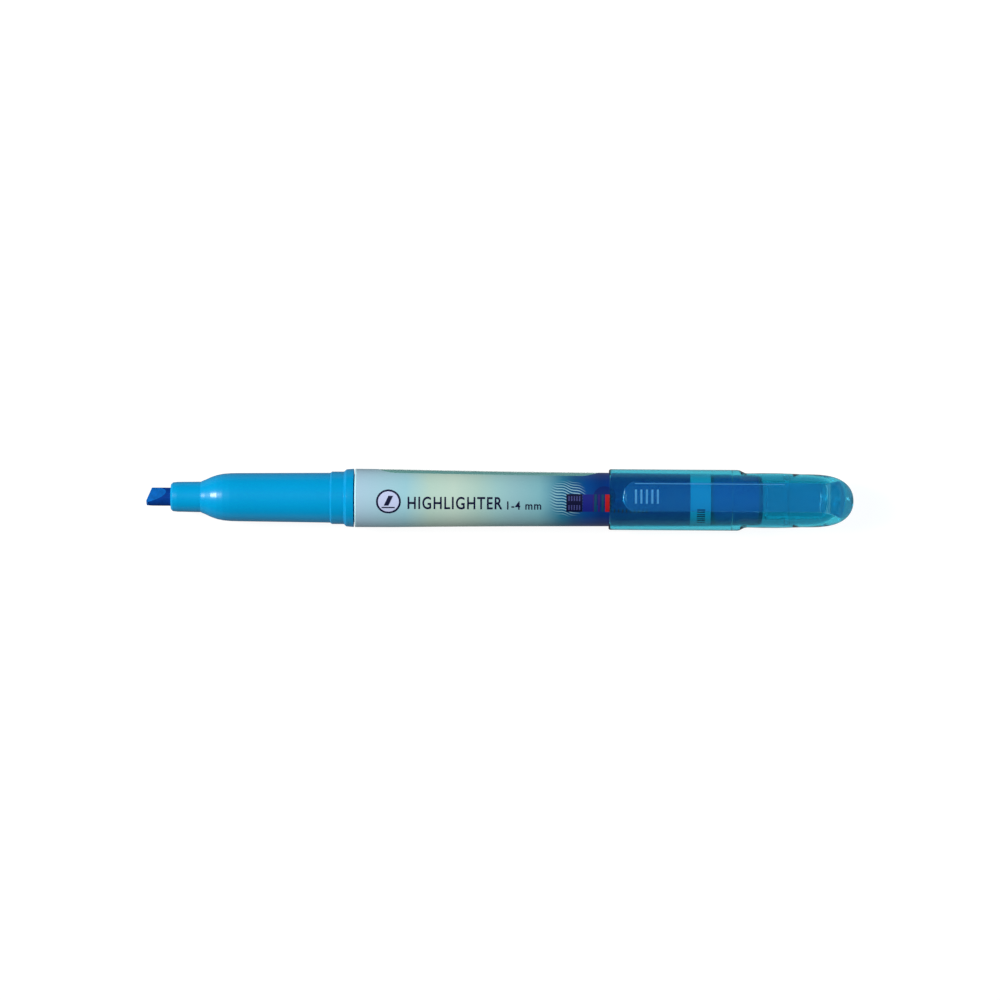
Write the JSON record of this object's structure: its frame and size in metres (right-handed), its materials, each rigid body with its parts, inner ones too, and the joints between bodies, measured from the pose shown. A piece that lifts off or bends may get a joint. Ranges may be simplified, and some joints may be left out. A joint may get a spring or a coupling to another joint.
{
  "type": "capped highlighter",
  "caption": "Chisel-tip liquid-ink highlighter with a clear clip cap posted on the tail, printed film over a see-through tank, and a smooth grip.",
  "frame": {"origin": "under the middle of the posted pen, level with the lowest facet of the cap", "axes": "+X from the nib to the cap's dome, +Z the side of the pocket clip, +Y across the pen"},
  "size_m": [0.15, 0.0128, 0.0152],
  "materials": {
    "nib_fibre": "ink-soaked bonded polyester fibre, matt",
    "grip_plastic": "opaque moulded polypropylene, satin gloss",
    "collector_plastic": "moulded ABS, matt",
    "feed_fibre": "bonded capillary fibre, matt",
    "tank_plastic": "clear moulded polypropylene, glossy",
    "ink": "deep blue liquid ink",
    "printed_film": "printed shrink film, satin",
    "cap_plastic": "tinted see-through polystyrene, glossy",
    "seal_plastic": "natural polypropylene, translucent"
  },
  "bodies": {
    "pen": {"nib": "nib_fibre", "grip_section": "grip_plastic", "ink_collector": "collector_plastic", "feed_rod": "feed_fibre", "barrel": "tank_plastic", "ink_charge": "ink", "barrel_label": "printed_film"},
    "seal": {"inner_seal": "seal_plastic"},
    "cap": {"cap_shell": "cap_plastic"},
    "clip": {"pocket_clip": "cap_plastic"}
  },
  "joints": [
    {"name": "cap_pull", "type": "slide", "parent": "pen", "child": "seal", "axis": [1, 0, 0], "range_m": [0, 0.045]},
    {"name": "cap_turn", "type": "hinge", "parent": "seal", "child": "cap", "pos_m": [0.0608, 0, 0.00645], "axis": [1, 0, 0], "continuous": true},
    {"name": "clip_flex", "type": "hinge", "parent": "cap", "child": "clip", "pos_m": [0.0735, 0, 0.0105], "axis": [0, 1, 0], "range_deg": [0, 3], "stiffness_Nm_per_rad": 1}
  ]
}
